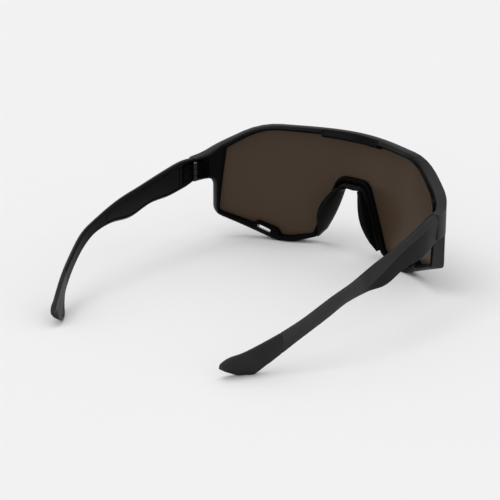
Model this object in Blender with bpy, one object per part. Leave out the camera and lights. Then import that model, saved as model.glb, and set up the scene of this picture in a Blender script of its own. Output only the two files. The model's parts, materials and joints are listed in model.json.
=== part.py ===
"""Wrap-around shield glasses: one full-rim front, one curved lens, a clip-on nose piece
and two folding arms.

Metres, +Z up.  The glasses stand open on a surface at z = 0, the lens looks along -Y and
the origin lies under the middle of their box.  The wearer's left is +X.

The front is designed flat and then bent round the face.  A point of the flat front is
(u, depth, z): u runs across along the outer face, depth runs back from it, z is up.
"""

import math

import bmesh
import bpy

MM = 0.001

# Overall sizes
DEPTH = 168.2 * MM            # foremost point of the front to the ends of the arms
BROW_TOP = 58.7 * MM          # crown of the brow above the surface
FRONT_RADIUS = 103.0 * MM     # outer face of the front, seen from above
PEAK = 3.0 * MM               # how far its middle stands forward of that circle
PEAK_U = 38.0 * MM            # half span of the forward part
CORNER_ANGLE = math.radians(38.4)   # heading at which the front starts to turn back
CORNER_RADIUS = 21.0 * MM     # bend from the front into an end piece
HINGE_DEPTH = 42.2 * MM       # hinge line behind the foremost point

# Clearances
GAP = 0.3 * MM                # between pieces that sit against each other
RUNNING = 0.1 * MM            # round the hinge screw

# Front: heights and half spans in the flat
END_TOP = 42.9 * MM           # top and bottom of an end piece at the hinge
END_BOTTOM = 31.0 * MM
FLANK_U = 74.2 * MM           # outer edge of the rim beside the lens
FLANK_LOW = 13.1 * MM         # its lower corner
SHOULDER_U = 50.0 * MM        # where the brow starts to fall
SHOULDER_DROP = 0.2 * MM
SHOULDER_RIM = 2.4 * MM       # height of the rim there
LOBE_OUT_U = 41.2 * MM        # the lobes under the lens stand on the surface
LOBE_IN_U = 31.5 * MM
NOSE_FOOT_U = 22.6 * MM       # foot and apex of the nose cut-out in the visible lens
NOSE_FOOT_Z = 4.9 * MM
NOSE_APEX_U = 9.3 * MM
NOSE_APEX_Z = 36.5 * MM
NOSE_RADIUS = 10.5 * MM
NOSE_RIM = 3.0 * MM           # width of the rim along the nose
BROW_RIM = 3.4 * MM           # height of the rim above the visible lens
LOBE_RIM = 2.7 * MM           # height of the rim under the visible lens
TAB_U = 17.2 * MM             # half length of the tab that hangs behind the lens's top
TAB_DROP = 1.2 * MM
REAR_CHAMFER = 0.5 * MM       # along the rim's outer rear edge
END_THICKNESS = 4.0 * MM      # end piece and arm at the hinge, outer face to inner face

# Vents in the lower rim
VENT_U = 47.4 * MM
VENT_Z = 4.95 * MM
VENT_LENGTH = 7.4 * MM
VENT_HEIGHT = 1.5 * MM
VENT_SLOPE = math.radians(21.5)

# Lens
LENS_THICKNESS = 2.0 * MM
LENS_DEPTH = 1.0 * MM         # its front surface behind the frame's front face
LENS_BITE = 1.3 * MM          # how far its edge goes into the frame's groove

# Nose clip and pads
CLIP_THICKNESS = 1.5 * MM
CLIP_FRONT = 1.2 * MM
CLIP_BACK = 6.3 * MM
CLIP_CROWN = 1.0 * MM         # extra thickness at the apex
PAD_THICKNESS = 1.8 * MM
PAD_FRONT = 2.6 * MM
PAD_REACH = 7.4 * MM          # how far a pad stands out behind the clip
PAD_FLARE = 3.2 * MM          # and how far it leans away from the nose there

# Hinges
PIN_INSET = 0.15 * MM         # hinge line inside the inner face of the end piece
PIN_RADIUS = 0.7 * MM
BARREL_RADIUS = 1.6 * MM
LEAF_BOTTOM = 32.4 * MM
LEAF_HEIGHT = 7.8 * MM
LEAF_THICKNESS = 0.9 * MM
LEAF_LENGTH = 7.6 * MM        # from the hinge line to the end of a leaf's plate
TEMPLE_BARREL = 3.0 * MM      # height of the middle barrel
BARREL_GAP = 0.25 * MM
HEAD_RADIUS = 1.35 * MM
HEAD_HEIGHT = 0.9 * MM

# Arms.  Curves run from 0 at the hinge to 1 at the end of the arm.
ARM_SWELL = [(0.0, 0.0), (0.1, 1.6), (0.28, 2.2), (0.44, 2.0), (0.556, 1.0), (0.66, -1.6),
             (0.79, -7.9), (0.9, -15.4), (1.0, -24.0)]       # outer face out from the hinge's, mm
ARM_TOP = [(0.0, 42.9), (0.05, 42.7), (0.14, 40.6), (0.28, 37.2), (0.4, 34.6), (0.52, 30.7),
           (0.634, 26.9), (0.752, 20.1), (0.87, 13.7), (0.933, 10.4), (0.965, 9.2), (1.0, 7.2)]
ARM_BOTTOM = [(0.0, 31.0), (0.044, 29.0), (0.123, 27.1), (0.23, 26.6), (0.345, 23.5),
              (0.455, 24.4), (0.556, 23.2), (0.634, 19.8), (0.752, 12.7), (0.86, 4.2),
              (0.897, 0.3), (0.91, 0.0), (0.94, 0.0), (0.97, 1.6), (1.0, 3.6)]
ARM_THICK = [(0.0, END_THICKNESS / MM), (0.25, 3.0), (0.8, 3.0), (1.0, 2.8)]
TIP_FOOT = [(0.0, 0.0), (0.83, 0.0), (0.87, 0.8), (0.92, 2.3), (1.0, 1.8)]   # extra at the bottom, mm
ARM_CHAMFER = 1.2 * MM        # along the inner lower edge
TIP_RISE = [(0.0, 0.0), (0.85, 0.0), (0.887, 2.2), (0.933, 5.1), (0.965, 5.7), (1.0, 3.2)]  # lower
#                               edge of the tip's outer face above its underside, mm
TIP_FLAT = 1.2 * MM           # width of the underside where the outer face is raised
CREASE = [(0.0, 0.47), (0.3, 0.34), (0.42, 0.5), (0.5, 0.8), (1.0, 0.8)]   # share down the face
FACET_LEAN = 0.9 * MM         # lean of the arm's upper facet
STRIP_FROM = 0.07             # stretch of the arm that holds the inner strip
STRIP_TO = 0.49
STRIP_DEPTH = 1.1 * MM
STRIP_MARGIN = 1.6 * MM       # plastic above and below the strip
TIP_FROM = 0.815              # where the soft tip starts
WIRE_RADIUS = 0.6 * MM
WIRE_FROM = 0.53
WIRE_TO = 0.93

STATION_STEP = 3.2 * MM       # spacing of the frame's cross-sections
BEND_STEP = 6.0 * MM          # spacing of the vertical cuts that let the lens bend


# Bending the flat front round the face

CORNER_START = FRONT_RADIUS * CORNER_ANGLE
CORNER_END = CORNER_START + CORNER_RADIUS * (math.pi / 2 - CORNER_ANGLE)
CORNER_X = (FRONT_RADIUS - CORNER_RADIUS) * math.sin(CORNER_ANGLE)
CORNER_DEPTH = FRONT_RADIUS - (FRONT_RADIUS - CORNER_RADIUS) * math.cos(CORNER_ANGLE)
HINGE_X = CORNER_X + CORNER_RADIUS              # outer face at the hinge
END_U = CORNER_END + HINGE_DEPTH - GAP / 2 - CORNER_DEPTH - PEAK
PIN_X = HINGE_X - END_THICKNESS - PIN_INSET
ARM_LENGTH = DEPTH - HINGE_DEPTH - GAP / 2


def at_depth(depth):
    """World y of a depth behind the foremost point."""
    return depth - DEPTH / 2


def bend(u, depth, z):
    """World point of a point of the flat front."""
    side = math.copysign(1.0, u)
    along = abs(u)
    if along <= CORNER_START:
        heading = along / FRONT_RADIUS
        x = FRONT_RADIUS * math.sin(heading)
        back = FRONT_RADIUS * (1 - math.cos(heading))
    else:
        heading = min(CORNER_ANGLE + (along - CORNER_START) / CORNER_RADIUS, math.pi / 2)
        x = CORNER_X + CORNER_RADIUS * math.sin(heading)
        back = CORNER_DEPTH - CORNER_RADIUS * math.cos(heading) + max(along - CORNER_END, 0.0)
    x -= depth * math.sin(heading)
    back += depth * math.cos(heading) + PEAK
    if along < PEAK_U:
        back -= PEAK * (1 - (along / PEAK_U) ** 2) ** 2
    return (side * x, at_depth(back), z)


# Outlines and curves

def rounded(corners, step=math.radians(15)):
    """Open outline through (u, z, radius) corners, with an arc at each radius."""
    path = [corners[0][:2]]
    for before, here, after in zip(corners, corners[1:], corners[2:]):
        u, z, radius = here
        back = (before[0] - u, before[1] - z)
        ahead = (after[0] - u, after[1] - z)
        back_length = math.hypot(*back)
        ahead_length = math.hypot(*ahead)
        back = (back[0] / back_length, back[1] / back_length)
        ahead = (ahead[0] / ahead_length, ahead[1] / ahead_length)
        inner = math.acos(max(-1.0, min(1.0, back[0] * ahead[0] + back[1] * ahead[1])))
        if radius <= 0 or inner > math.pi - 0.01:
            path.append((u, z))
            continue
        tangent = min(radius / math.tan(inner / 2), 0.48 * back_length, 0.48 * ahead_length)
        radius = tangent * math.tan(inner / 2)
        bisector = (back[0] + ahead[0], back[1] + ahead[1])
        scale = radius / math.sin(inner / 2) / math.hypot(*bisector)
        centre = (u + bisector[0] * scale, z + bisector[1] * scale)
        first = math.atan2(z + back[1] * tangent - centre[1], u + back[0] * tangent - centre[0])
        last = math.atan2(z + ahead[1] * tangent - centre[1], u + ahead[0] * tangent - centre[0])
        turn = (last - first + math.pi) % (2 * math.pi) - math.pi
        count = max(2, math.ceil(abs(turn) / step))
        for i in range(count + 1):
            angle = first + turn * i / count
            path.append((centre[0] + radius * math.cos(angle), centre[1] + radius * math.sin(angle)))
    path.append(corners[-1][:2])
    return path


def moved_out(corners, distance):
    """The same corners pushed a distance to the left of the direction of travel."""
    result = []
    for i, (u, z, radius) in enumerate(corners):
        normals = []
        for a, b in ((i - 1, i), (i, i + 1)):
            if a < 0 or b >= len(corners):
                continue
            du, dz = corners[b][0] - corners[a][0], corners[b][1] - corners[a][1]
            length = math.hypot(du, dz)
            normals.append((-dz / length, du / length))
        if len(normals) == 1:
            normals *= 2
        along = 1 + normals[0][0] * normals[1][0] + normals[0][1] * normals[1][1]
        shift = [(a + b) * distance / along for a, b in zip(*normals)]
        turn = normals[0][0] * normals[1][1] - normals[0][1] * normals[1][0]
        grown = radius - math.copysign(distance, turn) if radius > 0 else 0.0
        result.append((u + shift[0], z + shift[1], max(grown, 0.3 * MM) if radius > 0 else 0.0))
    return result


def lengths_along(path):
    total = [0.0]
    for a, b in zip(path, path[1:]):
        total.append(total[-1] + math.dist(a, b))
    return total


def point_along(path, total, distance):
    for i in range(len(path) - 1):
        if distance <= total[i + 1] or i == len(path) - 2:
            span = total[i + 1] - total[i]
            share = 0.0 if span == 0 else (distance - total[i]) / span
            return tuple(a + (b - a) * share for a, b in zip(path[i], path[i + 1]))


def nearest_along(path, total, target, start):
    """Distance along the path of its nearest point to the target, at or past start."""
    best = (math.inf, start)
    for i in range(len(path) - 1):
        a, b = path[i], path[i + 1]
        span = total[i + 1] - total[i]
        if total[i + 1] < start or span == 0:
            continue
        share = sum((t - p) * (q - p) for t, p, q in zip(target, a, b)) / span ** 2
        share = min(1.0, max(share, (start - total[i]) / span, 0.0))
        near = [p + (q - p) * share for p, q in zip(a, b)]
        best = min(best, (math.dist(near, target), total[i] + span * share))
    return best[1]


def smooth(knots, t):
    """Smooth curve through (t, value) knots."""
    last = len(knots) - 1
    i = max(j for j in range(last) if knots[j][0] <= t or j == 0)
    (t0, v0), (t1, v1) = knots[i], knots[i + 1]

    def slope(j):
        low, high = max(j - 1, 0), min(j + 1, last)
        return (knots[high][1] - knots[low][1]) / (knots[high][0] - knots[low][0])

    span = t1 - t0
    s = (t - t0) / span
    return (v0 * (1 + 2 * s) * (1 - s) ** 2 + slope(i) * span * s * (1 - s) ** 2
            + v1 * s * s * (3 - 2 * s) + slope(i + 1) * span * s * s * (s - 1))


# Building solids

def material(name, colour, roughness, metallic=0.0, alpha=1.0):
    made = bpy.data.materials.new(name)
    made.use_nodes = True
    shader = made.node_tree.nodes["Principled BSDF"]
    shader.inputs["Base Color"].default_value = (*colour, 1.0)
    shader.inputs["Roughness"].default_value = roughness
    shader.inputs["Metallic"].default_value = metallic
    shader.inputs["Alpha"].default_value = alpha
    return made


def add_object(name, mesh, finish=None, origin=(0.0, 0.0, 0.0)):
    """Put a bmesh in the scene, closed and facing out, with its origin at a world point."""
    bmesh.ops.recalc_face_normals(mesh, faces=mesh.faces[:])
    bmesh.ops.translate(mesh, verts=mesh.verts[:], vec=[-c for c in origin])
    data = bpy.data.meshes.new(name)
    mesh.to_mesh(data)
    mesh.free()
    data.shade_smooth()
    data.set_sharp_from_angle(angle=math.radians(35))
    made = bpy.data.objects.new(name, data)
    made.location = origin
    bpy.context.collection.objects.link(made)
    if finish:
        data.materials.append(finish)
    else:
        made.hide_render = True
        made.display_type = "WIRE"
    return made


def loft(mesh, rings, closed=False):
    """Skin over rings of points; open lofts get flat ends."""
    rows = [[mesh.verts.new(point) for point in ring] for ring in rings]
    count = len(rows[0])
    pairs = list(zip(rows, rows[1:] + rows[:1])) if closed else list(zip(rows, rows[1:]))
    for a, b in pairs:
        for i in range(count):
            j = (i + 1) % count
            mesh.faces.new((a[i], a[j], b[j], b[i]))
    if not closed:
        mesh.faces.new(rows[0][::-1])
        mesh.faces.new(rows[-1])


def box(mesh, low, high):
    """Axis-aligned block between two corners, in any order."""
    rings = [[(x, y, z) for x, y in ((low[0], low[1]), (high[0], low[1]), (high[0], high[1]),
                                     (low[0], high[1]))] for z in (low[2], high[2])]
    loft(mesh, rings)


def turned(mesh, x, y, profile, sides=20):
    """Upright turned solid from (radius, z) pairs, bottom to top."""
    rings = []
    for radius, z in profile:
        rings.append([(x + radius * math.cos(2 * math.pi * i / sides),
                       y + radius * math.sin(2 * math.pi * i / sides), z) for i in range(sides)])
    loft(mesh, rings)


def tool(made, cutter, operation="DIFFERENCE"):
    """Cut a piece with a hidden solid, or weld that solid to it."""
    step = made.modifiers.new(cutter.name, "BOOLEAN")
    step.operation = operation
    step.object = cutter


def flat_plate(outline, depth, thickness):
    """Closed plate with a symmetric outline in the flat, cut upright so that it can bend."""
    mesh = bmesh.new()
    front = [mesh.verts.new((u, depth, z)) for u, z in outline]
    face = mesh.faces.new(front)
    grown = bmesh.ops.extrude_face_region(mesh, geom=[face])
    verts = [v for v in grown["geom"] if isinstance(v, bmesh.types.BMVert)]
    bmesh.ops.translate(mesh, verts=verts, vec=(0, thickness, 0))
    reach = max(u for u, _ in outline)
    count = math.ceil(2 * reach / BEND_STEP)
    for i in range(1, count):
        plane = -reach + 2 * reach * i / count
        geometry = mesh.verts[:] + mesh.edges[:] + mesh.faces[:]
        bmesh.ops.bisect_plane(mesh, geom=geometry, plane_co=(plane, 0, 0), plane_no=(1, 0, 0),
                               dist=0.01 * MM)
    for vert in mesh.verts:
        vert.co = bend(*vert.co)
    return mesh


def both_halves(half):
    """Closed symmetric outline from its right half, which starts and ends at u = 0."""
    return half + [(-u, z) for u, z in half[-2:0:-1]]


# Outlines of the flat front, right half, from the top centre round to the nose

OPENING_TOP = BROW_TOP - BROW_RIM
OUTER = [(0.0, BROW_TOP, 0.0), (SHOULDER_U, BROW_TOP - SHOULDER_DROP, 45 * MM),
         (END_U - 7.6 * MM, END_TOP + 0.5 * MM, 25 * MM), (END_U, END_TOP, 0.0),
         (END_U, END_BOTTOM, 0.0), (FLANK_U, END_BOTTOM, 4 * MM), (FLANK_U, FLANK_LOW, 4 * MM),
         (LOBE_OUT_U, 0.0, 12 * MM), (LOBE_IN_U, 0.0, 10 * MM)]
OPENING = [(0.0, OPENING_TOP, 0.0), (SHOULDER_U - 1.4 * MM, BROW_TOP - SHOULDER_DROP - SHOULDER_RIM, 40 * MM),
           (FLANK_U - 7.3 * MM, OPENING_TOP - 9.2 * MM, 2 * MM),
           (FLANK_U - 2.9 * MM, FLANK_LOW + 1.2 * MM, 2.5 * MM),
           (VENT_U + 5.6 * MM, VENT_Z + 3.2 * MM, 0.6 * MM),
           (VENT_U + 3.6 * MM, VENT_Z + 4.6 * MM, 0.7 * MM),
           (VENT_U - 6.9 * MM, VENT_Z + 1.15 * MM, 1.0 * MM),
           (VENT_U - 9.0 * MM, LOBE_RIM, 1.5 * MM),
           (LOBE_IN_U + 2.5 * MM, LOBE_RIM, 8 * MM), (NOSE_FOOT_U, NOSE_FOOT_Z, 2.5 * MM),
           (NOSE_APEX_U, NOSE_APEX_Z, NOSE_RADIUS), (0.0, NOSE_APEX_Z, 0.0)]
NOSE = moved_out(OPENING[-3:], NOSE_RIM)
NOSE[0] = (NOSE[0][0], NOSE[0][1], 2.0 * MM)
OUTER += NOSE

# Matching places on the two outlines, with the rim's shape there: depth of its outer face,
# full depth, how far its back edge lies out from the opening, and the tab behind the lens
END_SIDE = (END_THICKNESS - REAR_CHAMFER) / MM
RIM_KEYS = [
    (OUTER[0], OPENING[0], 4.0, 7.4, 0.9, 1),
    ((TAB_U - 0.6 * MM, BROW_TOP), (TAB_U - 0.6 * MM, OPENING_TOP), 4.0, 7.4, 0.9, 1),
    ((TAB_U + 0.8 * MM, BROW_TOP), (TAB_U + 0.8 * MM, OPENING_TOP), 4.0, 7.4, 0.9, 0),
    (OUTER[1], OPENING[1], 4.0, 7.4, 0.9, 0),
    ((FLANK_U - 2 * MM, END_TOP + 4.8 * MM), OPENING[2], 4.0, 6.6, 0.7, 0),
    (OUTER[3], (FLANK_U - 6.6 * MM, END_TOP - 1.5 * MM), END_SIDE, 5.6, 0.5, 0),
    (OUTER[4], (FLANK_U - 6.0 * MM, END_BOTTOM + 5.5 * MM), END_SIDE, 5.6, 0.5, 0),
    ((FLANK_U + 1.2 * MM, END_BOTTOM - 1.2 * MM), (FLANK_U - 5.3 * MM, END_BOTTOM), END_SIDE, 5.6, 0.4, 0),
    (OUTER[6], OPENING[3], 4.6, 6.6, 0.3, 0),
    ((VENT_U + 6.4 * MM, VENT_Z - 0.1 * MM), OPENING[4], 5.6, 7.2, 0.2, 0),
    ((VENT_U + 4.6 * MM, VENT_Z - 0.8 * MM), OPENING[5], 5.6, 7.2, 0.2, 0),
    ((VENT_U - 6.0 * MM, 0.2 * MM), OPENING[6], 5.6, 7.2, 0.2, 0),
    ((VENT_U - 9.8 * MM, 0.0), OPENING[7], 5.6, 7.2, 0.2, 0),
    (OUTER[8], (LOBE_IN_U, LOBE_RIM + 0.6 * MM), 5.6, 7.2, 0.2, 0),
    (OUTER[9], OPENING[9], 4.6, 6.2, 0.2, 0),
    (OUTER[10], OPENING[10], 4.2, 5.8, 0.2, 0),
    (OUTER[11], OPENING[11], 4.2, 5.8, 0.2, 0),
]


def rim_section(outer, inner, side_depth, full_depth, back_edge, tab):
    """Cross-section of the rim between a point of the opening and one of the outer edge."""
    width = math.dist(outer, inner)
    low = -tab * TAB_DROP
    groove_front = LENS_DEPTH - GAP
    groove_back = LENS_DEPTH + LENS_THICKNESS + GAP
    groove_floor = LENS_BITE + GAP
    front = [(0.25 * MM + (width - 1.05 * MM) * i / 4, 0.0) for i in range(5)]
    top = [(width - 0.2 * MM, 0.25 * MM), (width, 0.8 * MM), (width, side_depth),
           (width - 0.4 * MM, side_depth + REAR_CHAMFER)]
    rear_from = top[-1]
    rear_to = (back_edge + 0.9 * MM + low, full_depth)
    rear = [tuple(a + (b - a) * i / 4 for a, b in zip(rear_from, rear_to)) for i in range(1, 5)]
    under = [(back_edge + low, full_depth - 0.5 * MM), (low, groove_back),
             (groove_floor, groove_back), (groove_floor, groove_front), (0.0, groove_front),
             (0.0, 0.2 * MM)]
    return [rim_point(outer, inner, n) + (depth,) for n, depth in front + top + rear + under]


def rim_point(outer, inner, n):
    """Point of the flat at a distance n from the opening towards the outer edge."""
    share = n / math.dist(outer, inner)
    return tuple(i + (o - i) * share for o, i in zip(outer, inner))


def rim_stations():
    """Right half of the rim: outer point, opening point and rim shape of each cross-section."""
    outer_path, inner_path = rounded(OUTER), rounded(OPENING)
    outer_total, inner_total = lengths_along(outer_path), lengths_along(inner_path)
    places = []
    outer_at = inner_at = 0.0
    for outer, inner, *shape in RIM_KEYS:
        outer_at = nearest_along(outer_path, outer_total, outer[:2], outer_at)
        inner_at = nearest_along(inner_path, inner_total, inner[:2], inner_at)
        places.append((outer_at, inner_at, [value * MM for value in shape[:3]] + [shape[3]]))
    places[-1] = (outer_total[-1], inner_total[-1], places[-1][2])
    stations = []
    for a, b in zip(places, places[1:]):
        length = max(b[0] - a[0], b[1] - a[1])
        count = max(1, math.ceil(length / STATION_STEP))
        for i in range(count):
            share = i / count
            outer = point_along(outer_path, outer_total, a[0] + (b[0] - a[0]) * share)
            inner = point_along(inner_path, inner_total, a[1] + (b[1] - a[1]) * share)
            stations.append((outer, inner, [p + (q - p) * share for p, q in zip(a[2], b[2])]))
    stations.append((outer_path[-1], inner_path[-1], places[-1][2]))
    return stations


def lens_outline():
    """The lens's edge lies in the rim's groove, a gap short of its floor all the way round."""
    half = [rim_point(outer, inner, LENS_BITE) for outer, inner, _ in rim_stations()]
    return both_halves(half)


def make_frame(finish):
    half = [rim_section(outer, inner, *shape) for outer, inner, shape in rim_stations()]
    mirrored = [[(-u, z, depth) for u, z, depth in section] for section in half[-2:0:-1]]
    mesh = bmesh.new()
    rings = [[bend(u, depth, z) for u, z, depth in section] for section in half + mirrored]
    loft(mesh, rings, closed=True)
    frame = add_object("front_frame", mesh, finish)

    vents = bmesh.new()
    for side in (1, -1):
        along = (math.cos(VENT_SLOPE), math.sin(VENT_SLOPE))
        rings = []
        for depth in (-2 * MM, 12 * MM):
            ring = []
            for a, h in ((-0.5, -0.3), (-0.5, 0.3), (-0.42, 0.5), (0.42, 0.5), (0.5, 0.3),
                         (0.5, -0.3), (0.42, -0.5), (-0.42, -0.5)):
                u = VENT_U + a * VENT_LENGTH * along[0] - h * VENT_HEIGHT * along[1]
                z = VENT_Z + a * VENT_LENGTH * along[1] + h * VENT_HEIGHT * along[0]
                ring.append(bend(side * u, depth, z))
            rings.append(ring)
        loft(vents, rings)
    tool(frame, add_object("cut_vents", vents))
    tool(frame, add_object("cut_frame_pockets", hinge_pockets((1, -1), -1)))
    return frame


# Nose clip and pads

def nose_path():
    """Nose edge of the frame, from the foot on one side over the arch to the other foot."""
    half = rounded(NOSE, math.radians(12))
    return [p for p in half if p[1] > NOSE_FOOT_Z + 1.5 * MM]


def nose_stations(step):
    """Places along half the nose edge, foot to apex, with the direction towards the nose."""
    path = nose_path()
    foot = point_along(rounded(NOSE), lengths_along(rounded(NOSE)), 3.0 * MM)
    path = [foot] + path
    total = lengths_along(path)
    count = math.ceil(total[-1] / step)
    stations = []
    for i in range(count + 1):
        share = i / count
        here = point_along(path, total, total[-1] * share)
        before = point_along(path, total, max(total[-1] * share - 0.5 * MM, 0.0))
        after = point_along(path, total, min(total[-1] * share + 0.5 * MM, total[-1]))
        du, dz = after[0] - before[0], after[1] - before[1]
        length = math.hypot(du, dz)
        stations.append((share, here, (-dz / length, du / length)))
    stations[-1] = (1.0, (0.0, path[-1][1]), (0.0, -1.0))
    return stations


def clip_thickness(share):
    """Thickness of the clip at a share of the way from its foot to the apex."""
    return CLIP_THICKNESS + CLIP_CROWN * share ** 4


def make_clip(finish):
    stations = nose_stations(3 * MM)
    half = []
    for share, (u, z), (nu, nz) in stations:
        thickness = clip_thickness(share)
        ring = []
        for n, depth in ((0.0, CLIP_FRONT), (0.6, CLIP_FRONT), (1.0, CLIP_FRONT + 0.7 * MM),
                         (1.0, CLIP_BACK - 0.7 * MM), (0.6, CLIP_BACK), (0.0, CLIP_BACK)):
            out = GAP + n * thickness
            ring.append((u + nu * out, depth, z + nz * out))
        half.append(ring)
    other = [[(-u, depth, z) for u, depth, z in ring] for ring in half[-2::-1]]
    mesh = bmesh.new()
    loft(mesh, [[bend(*point) for point in ring] for ring in half + other])
    return add_object("nose_clip", mesh, finish)


def make_pad(name, side, finish):
    """Leaf-shaped pad along a leg of the clip; behind the clip it leans off the nose."""
    stations = [s for s in nose_stations(2.4 * MM) if s[0] < 0.86]
    rings = []
    for i, (up_leg, (u, z), (nu, nz)) in enumerate(stations):
        share = i / (len(stations) - 1)
        leaf = math.sin(math.pi * (0.12 + 0.8 * share)) ** 0.7
        body = 0.55 + 0.45 * leaf
        base = GAP + clip_thickness(up_leg) + GAP
        reach = PAD_REACH * leaf
        lean = PAD_FLARE * leaf
        thickness = PAD_THICKNESS * body
        back = CLIP_BACK + GAP
        profile = ((base, PAD_FRONT), (base + thickness * 0.7, PAD_FRONT + 0.5 * MM),
                   (base + thickness, back - 1.5 * MM), (base + thickness - lean * 0.5, back + reach * 0.5),
                   (base + thickness * 0.6 - lean, back + reach), (base - lean, back + reach - 0.3 * MM),
                   (base - lean * 0.6, back + reach * 0.5), (base, back))
        ring = [(side * (u + nu * n), depth, z + nz * n) for n, depth in profile]
        rings.append([bend(*point) for point in ring])
    mesh = bmesh.new()
    loft(mesh, rings)
    return add_object(name, mesh, finish)


# Hinges

LEAF_TOP = LEAF_BOTTOM + LEAF_HEIGHT
MIDDLE_LOW = LEAF_BOTTOM + (LEAF_HEIGHT - TEMPLE_BARREL) / 2
MIDDLE_HIGH = MIDDLE_LOW + TEMPLE_BARREL
LEAF_FACE = PIN_X + BARREL_RADIUS          # outer side of a leaf's plate
HINGE_Y = at_depth(HINGE_DEPTH)
HOLE_RADIUS = PIN_RADIUS + RUNNING


def hinge_pockets(sides, direction):
    """Cutters for the leaves' pockets, forward (-1) in the end pieces or back (1) in the arms."""
    mesh = bmesh.new()
    for side in sides:
        low = (side * (PIN_X - 4 * MM), HINGE_Y - direction * 1.5 * MM, LEAF_BOTTOM - GAP)
        high = (side * (LEAF_FACE + GAP), HINGE_Y + direction * (LEAF_LENGTH + GAP),
                LEAF_TOP + HEAD_HEIGHT + 2 * GAP)
        box(mesh, low, high)
    return mesh


def make_leaf(name, side, direction, finish):
    """Plate with barrels: two outer ones on the frame's leaf, the middle one on the arm's."""
    mesh = bmesh.new()
    box(mesh, (side * (LEAF_FACE - LEAF_THICKNESS), HINGE_Y, LEAF_BOTTOM),
        (side * LEAF_FACE, HINGE_Y + direction * LEAF_LENGTH, LEAF_TOP))
    on_arm = direction > 0
    origin = (side * PIN_X, HINGE_Y, LEAF_BOTTOM)
    leaf = add_object(name, mesh, finish, origin if on_arm else (0.0, 0.0, 0.0))
    barrel = bmesh.new()
    span = (MIDDLE_LOW, MIDDLE_HIGH) if on_arm else (LEAF_BOTTOM - 0.01 * MM, LEAF_TOP + 0.01 * MM)
    turned(barrel, side * PIN_X, HINGE_Y, [(BARREL_RADIUS, z) for z in span])
    tool(leaf, add_object("weld_" + name, barrel), "UNION")
    clear = bmesh.new()
    spans = [(MIDDLE_LOW - BARREL_GAP, MIDDLE_HIGH + BARREL_GAP)]
    if on_arm:
        spans = [(LEAF_BOTTOM - MM, MIDDLE_LOW), (MIDDLE_HIGH, LEAF_TOP + MM)]
    for low, high in spans:
        turned(clear, side * PIN_X, HINGE_Y, [(BARREL_RADIUS + GAP, low), (BARREL_RADIUS + GAP, high)])
    tool(leaf, add_object("cut_clear_" + name, clear))
    hole = bmesh.new()
    turned(hole, side * PIN_X, HINGE_Y, [(HOLE_RADIUS, LEAF_BOTTOM - MM), (HOLE_RADIUS, LEAF_TOP + MM)])
    tool(leaf, add_object("cut_hole_" + name, hole))
    return leaf


def make_screw(name, side, finish):
    """Slotted screw from the top; its shank is the hinge's pin."""
    mesh = bmesh.new()
    seat = LEAF_TOP + GAP
    turned(mesh, side * PIN_X, HINGE_Y,
           [(PIN_RADIUS * 0.8, LEAF_BOTTOM + 0.1 * MM), (PIN_RADIUS, LEAF_BOTTOM + 0.4 * MM),
            (PIN_RADIUS, seat), (HEAD_RADIUS, seat), (HEAD_RADIUS, seat + HEAD_HEIGHT * 0.6),
            (HEAD_RADIUS * 0.75, seat + HEAD_HEIGHT)])
    screw = add_object(name, mesh, finish)
    slot = bmesh.new()
    box(slot, (side * (PIN_X - 2 * MM), HINGE_Y - 0.2 * MM, seat + HEAD_HEIGHT * 0.5),
        (side * (PIN_X + 2 * MM), HINGE_Y + 0.2 * MM, seat + HEAD_HEIGHT + MM))
    tool(screw, add_object("cut_slot_" + name, slot))
    return screw


# Arms

def arm_place(t):
    """Outer face at a share t of the arm: x, depth, and the plan direction towards the head."""
    def outer(at):
        return HINGE_X + smooth(ARM_SWELL, at) * MM
    slope = (outer(min(t + 0.01, 1.0)) - outer(max(t - 0.01, 0.0))) / (
        (min(t + 0.01, 1.0) - max(t - 0.01, 0.0)) * ARM_LENGTH)
    slope *= min(1.0, t / 0.08)
    length = math.hypot(1.0, slope)
    depth = HINGE_DEPTH + GAP / 2 + t * ARM_LENGTH
    return outer(t), depth, (-1.0 / length, slope / length)


def arm_heights(t):
    low = max(smooth(ARM_BOTTOM, t), 0.0) * MM
    high = smooth(ARM_TOP, t) * MM
    return low, high


def arm_thickness(t):
    return smooth(ARM_THICK, t) * MM


def arm_point(side, t, inward, z):
    x, depth, (nx, nd) = arm_place(t)
    return (side * (x + nx * inward), at_depth(depth + nd * inward), z)


def arm_section(side, t, shrink=0.0, recess=0.0):
    """Ring of points round the arm; the recess takes the inner strip."""
    low, high = arm_heights(t)
    thick = arm_thickness(t)
    rise = max(smooth(TIP_RISE, t), 0.0) * MM
    face_low = low + rise
    height = high - face_low
    lean = min(FACET_LEAN, thick * 0.25)
    crease = high - smooth(CREASE, t) * height
    edge = min(0.45 * MM, height * 0.15)
    foot = max(smooth(TIP_FOOT, t), 0.0) * MM
    chamfer = min(ARM_CHAMFER, height * 0.15)
    under = min(rise * 0.75, thick + foot - edge - chamfer - lean * 0.7 - TIP_FLAT)
    strip_low, strip_high = strip_span(t)
    ring = [(lean + edge, high), (lean, high - edge), (0.0, crease), (lean * 0.7, face_low + edge),
            (lean * 0.7 + edge + under, low), (thick + foot - chamfer, low), (thick + foot, low + chamfer),
            (thick + foot * 0.6, strip_low), (thick + foot * 0.6 - recess, strip_low + 0.15 * MM),
            (thick - recess, strip_high - 0.15 * MM), (thick, strip_high),
            (thick, high - edge), (thick - edge, high)]
    middle = (thick / 2, (low + high) / 2)
    points = [tuple(m + (p - m) * (1 - shrink) for p, m in zip(point, middle)) for point in ring]
    return [arm_point(side, t, inward, z) for inward, z in points]


def strip_span(t):
    """Lower and upper edge of the recess for the inner strip."""
    low, high = arm_heights(t)
    margin = min(STRIP_MARGIN, (high - low) * 0.3)
    return low + margin, high - margin


def arm_shares(start, end, count):
    return [start + (end - start) * i / count for i in range(count + 1)]


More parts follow.
